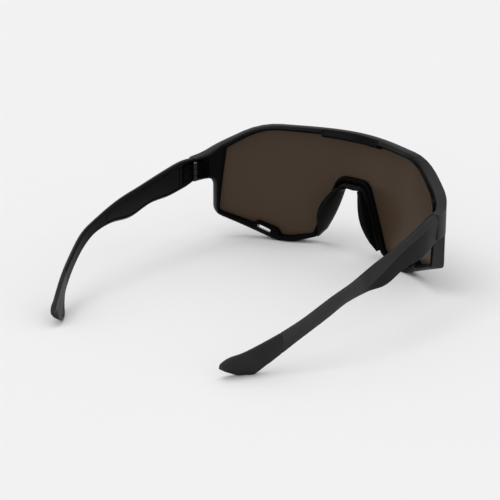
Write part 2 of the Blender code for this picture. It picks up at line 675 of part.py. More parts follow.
def make_arm(side_name, side, finish):
    hinge = (side * PIN_X, HINGE_Y, 0.0)
    wall = 0.2 * MM / ARM_LENGTH
    mesh = bmesh.new()
    rings = [arm_section(side, t) for t in arm_shares(0.0, STRIP_FROM, 5)]
    for t in arm_shares(STRIP_FROM + wall, STRIP_TO - wall, 14):
        rings.append(arm_section(side, t, recess=STRIP_DEPTH))
    for t in arm_shares(STRIP_TO, TIP_FROM - GAP / ARM_LENGTH, 14):
        rings.append(arm_section(side, t))
    loft(mesh, rings)
    arm = add_object("temple_" + side_name, mesh, finish, hinge)
    tool(arm, add_object("cut_arm_pocket_" + side_name, hinge_pockets((side,), 1)))
    tool(arm, add_object("cut_arm_wire_" + side_name, wire_mesh(side, GAP, WIRE_FROM, TIP_FROM + 0.03)))
    return arm


def make_tip(side_name, side, finish):
    hinge = (side * PIN_X, HINGE_Y, 0.0)
    mesh = bmesh.new()
    rings = [arm_section(side, t) for t in arm_shares(TIP_FROM, 0.975, 10)]
    rings.append(end_section(side, 0.992, 0.16))
    rings.append(end_section(side, 1.0, 0.45))
    loft(mesh, rings)
    tip = add_object("temple_tip_" + side_name, mesh, finish, hinge)
    tool(tip, add_object("cut_tip_wire_" + side_name, wire_mesh(side, GAP, TIP_FROM - 0.03, WIRE_TO)))
    return tip


def end_section(side, t, shrink):
    """Section near the very end, drawn in towards its middle but kept on the surface."""
    return [(x, y, max(z, 0.0)) for x, y, z in arm_section(side, t, shrink=shrink)]


def make_strip(side_name, side, finish):
    """Inner strip: sits in the arm's recess with its face just under the arm's inner face."""
    mesh = bmesh.new()
    rings = []
    margin = GAP / ARM_LENGTH * 2
    for t in arm_shares(STRIP_FROM + margin, STRIP_TO - margin, 14):
        low, high = strip_span(t)
        thick = arm_thickness(t)
        low, high = low + 0.15 * MM + GAP, high - 0.15 * MM - GAP
        floor, face = thick - STRIP_DEPTH + GAP, thick - 0.1 * MM
        ring = [(floor, low), (face - 0.2 * MM, low), (face, low + 0.2 * MM),
                (face, high - 0.2 * MM), (face - 0.2 * MM, high), (floor, high)]
        rings.append([arm_point(side, t, inward, z) for inward, z in ring])
    loft(mesh, rings)
    return add_object("temple_strip_" + side_name, mesh, finish, (side * PIN_X, HINGE_Y, 0.0))


def wire_mesh(side, clearance, start, end):
    """Round wire through the middle of the arm; with a clearance, the hole for it."""
    mesh = bmesh.new()
    reach = clearance / ARM_LENGTH
    rings = []
    sides = 8
    for t in arm_shares(start - reach, end + reach, 16):
        low, high = arm_heights(t)
        inward = arm_thickness(t) / 2
        middle = low + (high - low) * 0.5
        ring = []
        for i in range(sides):
            angle = 2 * math.pi * (i + 0.5) / sides
            radius = WIRE_RADIUS + clearance
            ring.append(arm_point(side, t, inward + radius * math.cos(angle),
                                  middle + radius * math.sin(angle)))
        rings.append(ring)
    loft(mesh, rings)
    return mesh


def build():
    for old in list(bpy.data.objects):
        bpy.data.objects.remove(old, do_unlink=True)

    frame_plastic = material("frame_plastic", (0.012, 0.012, 0.013), 0.32)
    lens_tint = material("lens_tint", (0.048, 0.033, 0.024), 0.05, alpha=0.9)
    clip_rubber = material("clip_rubber", (0.02, 0.02, 0.022), 0.45)
    pad_rubber = material("pad_rubber", (0.012, 0.012, 0.013), 0.3)
    arm_plastic = material("arm_plastic", (0.014, 0.014, 0.015), 0.36)
    strip_plastic = material("strip_plastic", (0.03, 0.03, 0.032), 0.42)
    tip_rubber = material("tip_rubber", (0.025, 0.025, 0.027), 0.5)
    hinge_steel = material("hinge_steel", (0.08, 0.08, 0.085), 0.35, metallic=1.0)
    screw_steel = material("screw_steel", (0.45, 0.45, 0.46), 0.3, metallic=1.0)
    wire_steel = material("wire_steel", (0.6, 0.6, 0.6), 0.3, metallic=1.0)

    make_frame(frame_plastic)
    lens = flat_plate(lens_outline(), LENS_DEPTH, LENS_THICKNESS)
    add_object("shield_lens", lens, lens_tint)
    make_clip(clip_rubber)
    for side_name, side in (("left", 1), ("right", -1)):
        hinge = (side * PIN_X, HINGE_Y, 0.0)
        make_pad("nose_pad_" + side_name, side, pad_rubber)
        make_leaf("hinge_frame_leaf_" + side_name, side, -1, hinge_steel)
        make_leaf("hinge_temple_leaf_" + side_name, side, 1, hinge_steel)
        make_screw("hinge_screw_" + side_name, side, screw_steel)
        make_arm(side_name, side, arm_plastic)
        make_strip(side_name, side, strip_plastic)
        make_tip(side_name, side, tip_rubber)
        add_object("temple_wire_" + side_name, wire_mesh(side, 0.0, WIRE_FROM, WIRE_TO),
                   wire_steel, hinge)


build()
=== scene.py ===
"""Wrap-around shield glasses standing open on a pale table.

The frame gives the place of everything: metres, +Z up, the lens looks along -Y, the
wearer's left is +X.  Each section makes one piece or a pair of like pieces.
"""

import json
import math

import bpy
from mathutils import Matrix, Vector


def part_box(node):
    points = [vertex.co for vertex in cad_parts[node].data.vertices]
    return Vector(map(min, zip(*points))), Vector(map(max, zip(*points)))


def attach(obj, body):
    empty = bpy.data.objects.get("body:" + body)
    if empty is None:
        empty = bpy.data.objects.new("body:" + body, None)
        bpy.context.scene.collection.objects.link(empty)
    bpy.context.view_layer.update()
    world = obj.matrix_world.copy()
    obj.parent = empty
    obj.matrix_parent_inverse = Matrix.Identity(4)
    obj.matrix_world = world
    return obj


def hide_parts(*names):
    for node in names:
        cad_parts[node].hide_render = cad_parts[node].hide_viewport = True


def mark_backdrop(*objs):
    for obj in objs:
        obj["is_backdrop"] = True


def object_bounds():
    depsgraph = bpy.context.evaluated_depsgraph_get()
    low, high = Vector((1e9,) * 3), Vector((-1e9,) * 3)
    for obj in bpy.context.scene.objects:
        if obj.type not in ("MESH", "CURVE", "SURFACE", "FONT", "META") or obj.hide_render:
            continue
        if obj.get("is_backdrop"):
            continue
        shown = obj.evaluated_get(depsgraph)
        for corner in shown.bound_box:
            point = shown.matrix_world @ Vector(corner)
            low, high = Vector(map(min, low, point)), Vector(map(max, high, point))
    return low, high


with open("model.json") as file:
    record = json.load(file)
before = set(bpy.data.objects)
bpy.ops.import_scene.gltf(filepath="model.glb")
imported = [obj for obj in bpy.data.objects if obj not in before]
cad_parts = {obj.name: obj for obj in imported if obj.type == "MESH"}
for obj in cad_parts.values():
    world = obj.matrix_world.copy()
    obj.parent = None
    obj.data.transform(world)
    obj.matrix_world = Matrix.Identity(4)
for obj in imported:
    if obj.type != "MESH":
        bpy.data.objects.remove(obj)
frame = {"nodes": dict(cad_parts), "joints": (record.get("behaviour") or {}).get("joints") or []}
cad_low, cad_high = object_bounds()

bpy.ops.object.select_all(action="DESELECT")
MM = 0.001


# Front frame.  A full rim moulded in one piece from black nylon: satin outside, glossy
# inside, with a painted sheen on the flanks, end pieces that turn back to the hinges, a groove
# for the lens, two vents in the lower rim and a pocket in each end piece for a hinge leaf.

hinge_x, hinge_y = frame["joints"][0]["pos_m"][:2]
front_y = cad_low.y                     # foremost point
brow_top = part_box("front_frame")[1].z
gap = 0.3 * MM
radius, peak, peak_u = 103 * MM, 3 * MM, 38 * MM
corner_angle, corner_radius = math.radians(38.4), 21 * MM
end_thickness = 4 * MM
hinge_depth = hinge_y - front_y
corner_start = radius * corner_angle
corner_end = corner_start + corner_radius * (math.pi / 2 - corner_angle)
corner_x = (radius - corner_radius) * math.sin(corner_angle)
corner_depth = radius - (radius - corner_radius) * math.cos(corner_angle)
end_u = corner_end + hinge_depth - gap / 2 - corner_depth - peak
end_top, end_low = 42.9 * MM, 31 * MM
flank_u, flank_low = 74.2 * MM, 13.1 * MM
lobe_out, lobe_in, lobe_rim = 41.2 * MM, 31.5 * MM, 2.7 * MM
opening_top = brow_top - 3.4 * MM
vent_u, vent_z, vent_slope = 47.4 * MM, 4.95 * MM, math.radians(21.5)
vent_fall = math.radians(19)            # the vents fall towards the front
lens_depth, lens_thickness, lens_bite = 1.0 * MM, 2.0 * MM, 1.3 * MM
rim_step = 1.3 * MM                     # between two sections of the rim
sharp = math.radians(38)                # an edge sharper than this isn't smoothed


def bend(u, depth, z):
    """Point of the flat front (across, back from its face, up), bent round the face."""
    along = abs(u)
    if along <= corner_start:
        heading = along / radius
        x, back = radius * math.sin(heading), radius * (1 - math.cos(heading))
    else:
        heading = min(corner_angle + (along - corner_start) / corner_radius, math.pi / 2)
        x = corner_x + corner_radius * math.sin(heading)
        back = corner_depth - corner_radius * math.cos(heading) + max(along - corner_end, 0.0)
    x -= depth * math.sin(heading)
    back += depth * math.cos(heading) + peak
    if along < peak_u:
        back -= peak * (1 - (along / peak_u) ** 2) ** 2
    return Vector((math.copysign(x, u), front_y + back, z))


def rounded(corners, step=math.radians(7)):
    """Open outline through (u, z, radius) corners, with an arc at each radius."""
    path = [corners[0][:2]]
    for before, here, after in zip(corners, corners[1:], corners[2:]):
        corner = Vector(here[:2])
        back, ahead = Vector(before[:2]) - corner, Vector(after[:2]) - corner
        inner = back.angle(ahead)
        if here[2] <= 0 or inner > math.pi - 0.01:
            path.append(tuple(corner))
            continue
        tangent = min(here[2] / math.tan(inner / 2), 0.48 * back.length, 0.48 * ahead.length)
        arc = tangent * math.tan(inner / 2)
        centre = corner + (back.normalized() + ahead.normalized()).normalized() * arc / math.sin(inner / 2)
        first = corner + back.normalized() * tangent - centre
        last = corner + ahead.normalized() * tangent - centre
        start = math.atan2(first.y, first.x)
        turn = (math.atan2(last.y, last.x) - start + math.pi) % (2 * math.pi) - math.pi
        count = max(2, math.ceil(abs(turn) / step))
        for i in range(count + 1):
            angle = start + turn * i / count
            path.append((centre.x + arc * math.cos(angle), centre.y + arc * math.sin(angle)))
    path.append(corners[-1][:2])
    return path


def moved_out(corners, distance):
    """The same corners pushed a distance to the left of the direction of travel."""
    result = []
    for i, (u, z, arc) in enumerate(corners):
        normals = []
        for a, b in ((i - 1, i), (i, i + 1)):
            if a >= 0 and b < len(corners):
                run = (Vector(corners[b][:2]) - Vector(corners[a][:2])).normalized()
                normals.append(Vector((-run.y, run.x)))
        total = normals[0] + normals[-1]
        shift = total * distance / (1 + normals[0].dot(normals[-1]))
        turn = normals[0].cross(normals[-1])
        grown = max(arc - math.copysign(distance, turn), 0.3 * MM) if arc > 0 else 0.0
        result.append((u + shift.x, z + shift.y, grown))
    return result


def lengths(path):
    total = [0.0]
    for a, b in zip(path, path[1:]):
        total.append(total[-1] + math.dist(a, b))
    return total


def point_at(path, total, distance):
    for i in range(len(path) - 1):
        if distance <= total[i + 1] or i == len(path) - 2:
            span = total[i + 1] - total[i]
            share = (distance - total[i]) / span if span else 0.0
            return tuple(a + (b - a) * share for a, b in zip(path[i], path[i + 1]))


def nearest(path, total, target, start):
    """Distance along the path of its nearest point to the target, at or past start."""
    best = (math.inf, start)
    for i in range(len(path) - 1):
        span = total[i + 1] - total[i]
        if total[i + 1] < start or not span:
            continue
        share = sum((t - p) * (q - p) for t, p, q in zip(target, path[i], path[i + 1])) / span ** 2
        share = min(1.0, max(share, (start - total[i]) / span, 0.0))
        near = [p + (q - p) * share for p, q in zip(path[i], path[i + 1])]
        best = min(best, (math.dist(near, target), total[i] + span * share))
    return best[1]


def softened(corners, parts=3):
    """Closed section whose (a, b, radius) corners each become the same count of points."""
    points = []
    for before, here, after in zip(corners[-1:] + corners[:-1], corners, corners[1:] + corners[:1]):
        ends = []
        for other in (before, after):
            length = max(math.dist(here[:2], other[:2]), 0.01 * MM)
            share = min(here[2] / length, 0.45)
            ends.append([h + (o - h) * share for h, o in zip(here[:2], other[:2])])
        for i in range(parts + 1):
            t = i / parts
            points.append(tuple((1 - t) ** 2 * a + 2 * t * (1 - t) * h + t * t * b
                                for a, h, b in zip(ends[0], here[:2], ends[1])))
    return points


def skin(name, rings, closed=False, marks=None):
    """A grid, one row of vertices to a ring, wrapped round the rings and welded shut.

    marks gives each vertex of each ring its share of satin finish and painted light, from 0 to 1.
    """
    across, rows = len(rings[0]), len(rings) - (0 if closed else 1)
    bpy.ops.object.select_all(action="DESELECT")
    bpy.ops.mesh.primitive_grid_add(x_subdivisions=across, y_subdivisions=rows, size=1)
    made = bpy.context.object
    made.name = name
    satin = made.data.attributes.new("satin", "FLOAT", "POINT")
    for vert in made.data.vertices:
        i = round((vert.co.x + 0.5) * across) % across
        j = round((vert.co.y + 0.5) * rows) % len(rings)
        vert.co = rings[j][i]
        satin.data[vert.index].value = marks[j][i] if marks else 1.0
    bpy.ops.object.mode_set(mode="EDIT")
    bpy.ops.mesh.select_all(action="SELECT")
    bpy.ops.mesh.remove_doubles(threshold=0.002 * MM)
    if not closed:
        bpy.ops.mesh.fill_holes(sides=0)
    bpy.ops.mesh.select_all(action="SELECT")
    bpy.ops.mesh.normals_make_consistent(inside=False)
    bpy.ops.object.mode_set(mode="OBJECT")
    bpy.ops.object.shade_smooth_by_angle(angle=sharp)
    return made


def cut(made, cutter):
    """Take the cutter's shape out of the piece, then throw the cutter away."""
    bpy.ops.object.select_all(action="DESELECT")
    bpy.context.view_layer.objects.active = made
    made.select_set(True)
    step = made.modifiers.new("cut", "BOOLEAN")
    step.object = cutter
    bpy.ops.object.modifier_apply(modifier=step.name)
    bpy.data.objects.remove(cutter)
    bpy.ops.object.mode_set(mode="EDIT")
    bpy.ops.mesh.select_all(action="SELECT")
    bpy.ops.mesh.remove_doubles(threshold=0.003 * MM)
    bpy.ops.mesh.dissolve_degenerate(threshold=0.002 * MM)
    bpy.ops.mesh.fill_holes(sides=6)
    bpy.ops.mesh.select_all(action="SELECT")
    bpy.ops.mesh.normals_make_consistent(inside=False)
    bpy.ops.object.mode_set(mode="OBJECT")
    bpy.ops.object.shade_smooth_by_angle(angle=sharp)


def block(low, high, edge):
    """Bevelled block between two corners."""
    low, high = Vector(map(min, low, high)), Vector(map(max, low, high))
    bpy.ops.object.select_all(action="DESELECT")
    bpy.ops.mesh.primitive_cube_add(size=1, location=(low + high) / 2, scale=high - low)
    bpy.ops.object.transform_apply(location=True, rotation=True, scale=True)
    bpy.ops.object.mode_set(mode="EDIT")
    bpy.ops.mesh.select_all(action="SELECT")
    bpy.ops.mesh.bevel(offset=edge, segments=3, affect="EDGES")
    bpy.ops.object.mode_set(mode="OBJECT")
    return bpy.context.object


class Line:
    """A socket in a material; sums and products on it become Math nodes."""

    def __init__(self, tree, socket=None):
        self.tree, self.socket = tree, socket

    def node(self, kind, settings=None, out=0, **inputs):
        made = self.tree.nodes.new("ShaderNode" + kind)
        for name, value in (settings or {}).items():
            setattr(made, name, value)
        for name, value in inputs.items():
            key = int(name[1:]) if name[0] == "_" else name.replace("_", " ")
            if isinstance(value, Line):
                self.tree.links.new(value.socket, made.inputs[key])
            else:
                made.inputs[key].default_value = value
        return Line(self.tree, made.outputs[out])

    def _math(self, operation, a, b):
        return self.node("Math", {"operation": operation}, _0=a, _1=b)

    def __add__(self, other):
        return self._math("ADD", self, other)

    def __radd__(self, other):
        return self._math("ADD", other, self)

    def __sub__(self, other):
        return self._math("SUBTRACT", self, other)

    def __rsub__(self, other):
        return self._math("SUBTRACT", other, self)

    def __mul__(self, other):
        return self._math("MULTIPLY", self, other)

    def __rmul__(self, other):
        return self._math("MULTIPLY", other, self)


def new_finish(name, **constants):
    """Material with one Principled shader; returns it, its shader and a Line to build with."""
    made = bpy.data.materials.new(name)
    made.use_nodes = True
    shader = made.node_tree.nodes["Principled BSDF"]
    for key, value in constants.items():
        shader.inputs[key.replace("_", " ")].default_value = value
    return made, shader, Line(made.node_tree)


def feed(shader, **lines):
    for key, line in lines.items():
        line.tree.links.new(line.socket, shader.inputs[key.replace("_", " ")])


def mixed(line, factor, a, b):
    """Colour between a and b."""
    return line.node("Mix", {"data_type": "RGBA"}, out=2, _0=factor, _6=(*a, 1), _7=(*b, 1))


def grain(line, size, detail=3.0):
    """Soft noise from 0 to 1 whose lumps are about the given size."""
    place = line.node("TexCoord", out=3)
    return line.node("TexNoise", Vector=place, Scale=1 / size, Detail=detail, Roughness=0.55)


outer = [(0.0, brow_top, 0.0), (50 * MM, brow_top - 0.2 * MM, 45 * MM),
         (end_u - 7.6 * MM, end_top + 0.5 * MM, 25 * MM), (end_u, end_top, 0.0),
         (end_u, end_low, 0.0), (flank_u, end_low, 4 * MM), (flank_u, flank_low, 4 * MM),
         (lobe_out, 0.0, 12 * MM), (lobe_in, 0.0, 10 * MM)]
opening = [(0.0, opening_top, 0.0), (48.6 * MM, brow_top - 2.6 * MM, 40 * MM),
           (flank_u - 7.3 * MM, opening_top - 9.2 * MM, 2 * MM),
           (flank_u - 2.9 * MM, flank_low + 1.2 * MM, 2.5 * MM),
           (vent_u + 5.6 * MM, vent_z + 3.2 * MM, 0.6 * MM),
           (vent_u + 3.6 * MM, vent_z + 4.6 * MM, 0.7 * MM),
           (vent_u - 6.9 * MM, vent_z + 1.15 * MM, 1.0 * MM),
           (vent_u - 9.0 * MM, lobe_rim, 1.5 * MM),
           (lobe_in + 2.5 * MM, lobe_rim, 8 * MM), (22.6 * MM, 4.9 * MM, 2.5 * MM),
           (9.3 * MM, 36.5 * MM, 10.5 * MM), (0.0, 36.5 * MM, 0.0)]
nose = moved_out(opening[-3:], 3 * MM)
nose[0] = (*nose[0][:2], 2 * MM)
outer += nose
tab_u, tab_drop = 17.2 * MM, 1.2 * MM
side = end_thickness / MM - 0.5
# Matching places on the two outlines; in mm, the depth of the outer face, the full depth,
# how far the back edge lies out from the opening; and the tab behind the lens's top.
places = [
    (outer[0], opening[0], 4.0, 7.4, 0.9, 1),
    ((tab_u - 0.2 * MM, brow_top), (tab_u - 0.2 * MM, opening_top), 4.0, 7.4, 0.9, 1),
    ((tab_u + 0.3 * MM, brow_top), (tab_u + 0.3 * MM, opening_top), 4.0, 7.4, 0.9, 0),
    (outer[1], opening[1], 4.0, 7.4, 0.9, 0),
    ((flank_u - 2 * MM, end_top + 4.8 * MM), opening[2], 4.0, 6.6, 0.7, 0),
    (outer[3], (flank_u - 6.6 * MM, end_top - 1.5 * MM), side, 5.6, 0.5, 0),
    (outer[4], (flank_u - 6.0 * MM, end_low + 5.5 * MM), side, 5.6, 0.5, 0),
    ((flank_u + 1.2 * MM, end_low - 1.2 * MM), (flank_u - 5.3 * MM, end_low), side, 5.6, 0.4, 0),
    (outer[6], opening[3], 4.6, 6.6, 0.3, 0),
    ((vent_u + 6.4 * MM, vent_z - 0.1 * MM), opening[4], 5.6, 7.2, 0.2, 0),
    ((vent_u + 4.6 * MM, vent_z - 0.8 * MM), opening[5], 5.6, 7.2, 0.2, 0),
    ((vent_u - 6.0 * MM, 0.2 * MM), opening[6], 5.6, 7.2, 0.2, 0),
    ((vent_u - 9.8 * MM, 0.0), opening[7], 5.6, 7.2, 0.2, 0),
    (outer[8], (lobe_in, lobe_rim + 0.6 * MM), 5.6, 7.2, 0.2, 0),
    (outer[9], opening[9], 4.6, 6.2, 0.2, 0),
    (outer[10], opening[10], 4.2, 5.8, 0.2, 0),
    (outer[11], opening[11], 4.2, 5.8, 0.2, 0),
]


def rim_stations(step):
    """Right half of the rim, top centre to nose: outer point, opening point, shape."""
    outer_path, inner_path = rounded(outer), rounded(opening)
    outer_total, inner_total = lengths(outer_path), lengths(inner_path)
    keys, out_at, in_at = [], 0.0, 0.0
    for out_point, in_point, *shape in places:
        out_at = nearest(outer_path, outer_total, out_point[:2], out_at)
        in_at = nearest(inner_path, inner_total, in_point[:2], in_at)
        keys.append((out_at, in_at, [v * MM for v in shape[:3]] + [shape[3]]))
    keys[-1] = (outer_total[-1], inner_total[-1], keys[-1][2])
    stations = []
    for a, b in zip(keys, keys[1:]):
        count = max(1, math.ceil(max(b[0] - a[0], b[1] - a[1]) / step))
        for i in range(count + (b is keys[-1])):
            share = i / count
            stations.append((point_at(outer_path, outer_total, a[0] + (b[0] - a[0]) * share),
                             point_at(inner_path, inner_total, a[1] + (b[1] - a[1]) * share),
                             [p + (q - p) * share for p, q in zip(a[2], b[2])]))
    return stations


def rim_section(out_point, in_point, side_depth, full_depth, back_edge, tab):
    """Section of the rim: rounded outside, a fine ledge behind the lens, and the groove."""
    width = math.dist(out_point, in_point)
    low = back_edge - tab * tab_drop
    groove = (lens_depth - gap, lens_depth + lens_thickness + gap)
    corners = [(0.0, 0.0, 0.3), (width, 0.0, 0.9), (width, side_depth + 0.3 * MM, 0.7),
               (low + 1.2 * MM, full_depth, 0.4), (low + 0.95 * MM, full_depth - 0.75 * MM, 0.12),
               (low + 0.1 * MM, full_depth - 0.95 * MM, 0.3), (-tab * tab_drop, groove[1], 0.1),
               (lens_bite + gap, groove[1], 0.05), (lens_bite + gap, groove[0], 0.05),
               (0.0, groove[0], 0.05)]
    section = softened([(n, d, r * MM) for n, d, r in corners])
    for start in (11, 3):               # the long rear and front faces follow the bend
        a, b = section[start], section[start + 1]
        section[start + 1:start + 1] = [(a[0] + (b[0] - a[0]) * i / 9, a[1] + (b[1] - a[1]) * i / 9)
                                        for i in range(1, 9)]
    points = []
    for n, depth in section:
        share = n / width
        points.append((in_point[0] + (out_point[0] - in_point[0]) * share, depth,
                       in_point[1] + (out_point[1] - in_point[1]) * share))
    return points


half = [rim_section(o, i, *shape) for o, i, shape in rim_stations(rim_step)]
other = [[(-u, d, z) for u, d, z in ring] for ring in half[-2:0:-1]]
marks = []
for ring in half + other:               # satin finish outside; the flanks get more of it as a painted sheen of side light
    painted_flank_sheen = min(max((abs(ring[14][0]) - 40 * MM) / (22 * MM), 0.0), 1.0)
    marks.append([0.25 + 0.75 * painted_flank_sheen] * 17 + [painted_flank_sheen] * 3
                 + [0.8 * painted_flank_sheen, 0.5 * painted_flank_sheen, 0.2 * painted_flank_sheen] + [0.0] * 33)
front = skin("front_rim", [[bend(*p) for p in ring] for ring in half + other], True, marks)

vent_corners = [(-3.7 * MM, -0.75 * MM, 0.5 * MM), (-3.7 * MM, 0.75 * MM, 0.5 * MM),
                (3.7 * MM, 0.75 * MM, 0.5 * MM), (3.7 * MM, -0.75 * MM, 0.5 * MM)]
for s in (1, -1):
    slot_rings = []
    for depth in (-2 * MM, 12 * MM):
        ring = []
        for a, h in softened(vent_corners):
            u = vent_u + a * math.cos(vent_slope) - h * math.sin(vent_slope)
            z = vent_z + a * math.sin(vent_slope) + h * math.cos(vent_slope)
            ring.append(bend(s * u, depth, z + (depth - 3 * MM) * math.tan(vent_fall)))
        slot_rings.append(ring)
    cut(front, skin("vent_cutter", slot_rings))

leaf_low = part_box("hinge_frame_leaf_left")[0].z
screw_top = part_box("hinge_screw_left")[1].z
leaf_face = hinge_x + 1.6 * MM


def pocket(s, direction):
    """Cutter for a leaf's pocket, forward (-1) in an end piece or back (1) in an arm."""
    return block((s * (hinge_x - 4 * MM), hinge_y - direction * 1.5 * MM, leaf_low - gap),
                 (s * (leaf_face + gap), hinge_y + direction * 7.9 * MM, screw_top + gap), 0.35 * MM)


for s in (1, -1):
    cut(front, pocket(s, -1))

nylon, shader, line = new_finish("black_nylon", Specular_IOR_Level=0.03)
satin = line.node("Attribute", {"attribute_name": "satin"}, out=2)
smudge = grain(line, 9 * MM)
fine = grain(line, 0.25 * MM, 2.0)
# The satin share lightens the base colour: a satin finish outside, and on the flanks a painted sheen of
# side light.
feed(shader,
     Base_Color=mixed(line, satin * (0.7 + 0.3 * smudge), (0.003, 0.003, 0.003), (0.045, 0.045, 0.046)),
     Roughness=0.2 + satin * 0.2 + smudge * 0.06,
     Normal=line.node("Bump", Strength=0.12, Distance=0.02 * MM, Height=fine * satin))
front.data.materials.append(nylon)
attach(front, "front")
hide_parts("front_frame")


# Lens.  One curved plate of dark brown polycarbonate with a mirror coat outside; its edge
# sits in the rim's groove all the way round.

edge = []
for out_point, in_point, _ in rim_stations(rim_step):
    share = lens_bite / math.dist(out_point, in_point)
    edge.append(tuple(i + (o - i) * share for o, i in zip(out_point, in_point)))
edge += [(-u, z) for u, z in edge[-2:0:-1]]
bpy.ops.object.select_all(action="DESELECT")
bpy.ops.mesh.primitive_circle_add(vertices=len(edge), radius=0.1, fill_type="NGON",
                                  rotation=(math.pi / 2, 0, 0))
lens = bpy.context.object
lens.name = "lens_plate"
bpy.ops.object.transform_apply(location=True, rotation=True, scale=True)
for vert, (u, z) in zip(lens.data.vertices, edge):
    vert.co = (u, lens_depth, z)
bpy.ops.object.mode_set(mode="EDIT")
bpy.ops.mesh.select_all(action="SELECT")
bpy.ops.mesh.extrude_region_move(TRANSFORM_OT_translate={"value": (0, lens_thickness, 0)})
reach = max(u for u, _ in edge)
strips = 84
for i in range(1, strips):
    bpy.ops.mesh.select_all(action="SELECT")
    bpy.ops.mesh.bisect(plane_co=(reach * (2 * i / strips - 1), 0, 0), plane_no=(1, 0, 0),
                        threshold=0.01 * MM)
bpy.ops.mesh.select_all(action="SELECT")
bpy.ops.mesh.normals_make_consistent(inside=False)
bpy.ops.object.mode_set(mode="OBJECT")
coat = lens.data.attributes.new("coat", "FLOAT", "POINT")
for vert in lens.data.vertices:
    coat.data[vert.index].value = 1.0 if vert.co.y < lens_depth + 0.1 * MM else 0.0
    vert.co = bend(*vert.co)
bpy.ops.object.shade_smooth_by_angle(angle=sharp)

tint, shader, line = new_finish("brown_lens", Specular_IOR_Level=0.12)
coat = line.node("Attribute", {"attribute_name": "coat"}, out=2)
haze = grain(line, 14 * MM)
feed(shader, Base_Color=mixed(line, coat, (0.068, 0.045, 0.029), (0.30, 0.29, 0.32)),
     Metallic=coat, Roughness=0.28 - coat * 0.2 + haze * 0.05)
lens.data.materials.append(tint)
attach(lens, "front")
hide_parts("shield_lens")


# Nose clip.  A soft saddle pressed over the nose edge of the rim; thickest over the arch.

clip_front, clip_back, touch = 1.2 * MM, 6.3 * MM, 0.05 * MM
nose_curve = [p for p in rounded(nose, math.radians(5)) if p[1] > 6.4 * MM]
whole = rounded(nose)
nose_curve = [point_at(whole, lengths(whole), 1.2 * MM)] + nose_curve
nose_total = lengths(nose_curve)


def nose_stations(count):
    """Places from the foot of the nose edge to its apex: share, point and way to the nose."""
    stations = []
    for i in range(count + 1):
        at = nose_total[-1] * i / count
        a = Vector(point_at(nose_curve, nose_total, max(at - 0.5 * MM, 0.0)))
        b = Vector(point_at(nose_curve, nose_total, min(at + 0.5 * MM, nose_total[-1])))
        run = (b - a).normalized()
        stations.append((i / count, Vector(point_at(nose_curve, nose_total, at)), Vector((-run.y, run.x))))
    stations[-1] = (1.0, Vector((0.0, nose_curve[-1][1])), Vector((0.0, -1.0)))
    return stations


def clip_thickness(share):
    return (1.5 + share ** 4) * MM * min(1.0, 0.2 + share / 0.16)


half = []
for share, here, way in nose_stations(34):
    thick = clip_thickness(share)
    section = softened([(touch, clip_front, 0.3 * MM), (gap + thick, clip_front, 0.8 * MM),
                        (gap + thick, clip_back, 0.8 * MM), (touch, clip_back, 0.4 * MM)])
    half.append([(here.x + way.x * n, depth, here.y + way.y * n) for n, depth in section])
other = [[(-u, d, z) for u, d, z in ring] for ring in half[-2::-1]]
clip = skin("nose_saddle", [[bend(*p) for p in ring] for ring in half + other])
soft_grey, shader, line = new_finish("grey_rubber", Specular_IOR_Level=0.05)
bloom, fine = grain(line, 5 * MM), grain(line, 0.18 * MM, 2.0)
feed(shader, Base_Color=mixed(line, bloom, (0.007, 0.007, 0.007), (0.012, 0.012, 0.0125)),
     Roughness=0.38 + bloom * 0.12,
     Normal=line.node("Bump", Strength=0.2, Distance=0.02 * MM, Height=fine))
clip.data.materials.append(soft_grey)
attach(clip, "front")
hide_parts("nose_clip")


# Nose pads.  A leaf of smooth black rubber on each leg of the clip; behind the clip it
# leans off the nose.

pad_rubber, shader, line = new_finish("black_rubber", Specular_IOR_Level=0.03)
bloom, fine = grain(line, 4 * MM), grain(line, 0.2 * MM, 2.0)
feed(shader, Base_Color=mixed(line, bloom, (0.004, 0.004, 0.004), (0.007, 0.007, 0.007)),
     Roughness=0.2 + bloom * 0.1,
     Normal=line.node("Bump", Strength=0.08, Distance=0.02 * MM, Height=fine))
pad_stations = [s for s in nose_stations(60) if s[0] < 0.86]
for side_name, s in (("left", 1), ("right", -1)):
    rings = []
    for i, (up_leg, here, way) in enumerate(pad_stations):
        share = i / (len(pad_stations) - 1)
        leaf = math.sin(math.pi * (0.01 + 0.91 * share)) ** 1.1
        base = gap + clip_thickness(up_leg) + touch
        reach, lean = 8.2 * MM * leaf, 3.2 * MM * leaf
        thick = 1.8 * MM * (0.15 + 0.85 * leaf)
        back = clip_back + gap
        flange = 2.3 * MM * leaf
        section = softened([(base, 2.6 * MM, 0.3 * MM), (base + thick, 2.9 * MM, 1.0 * MM),
                            (base + thick, back - 0.6 * MM, 2.0 * MM),
                            (base + thick - lean * 0.5, back + reach * 0.6, 2.2 * MM),
                            (base + thick * 0.5 - lean, back + reach, 1.0 * MM),
                            (base - lean - flange * 0.7, back + reach * 0.8, 1.0 * MM),
                            (base - lean * 0.4 - flange, back + reach * 0.25, 1.0 * MM),
                            (base - flange, back, 0.4 * MM), (base, back, 0.2 * MM)])
        rings.append([bend(s * (here.x + way.x * n), depth, here.y + way.y * n) for n, depth in section])
    pad = skin("pad_leaf_" + side_name, rings)
    pad.data.materials.append(pad_rubber)
    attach(pad, "front")
    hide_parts("nose_pad_" + side_name)


# Hinges.  Stamped and rolled steel leaves, blackened, and a bright slotted screw through
# their barrels; they keep the frame's own shapes.

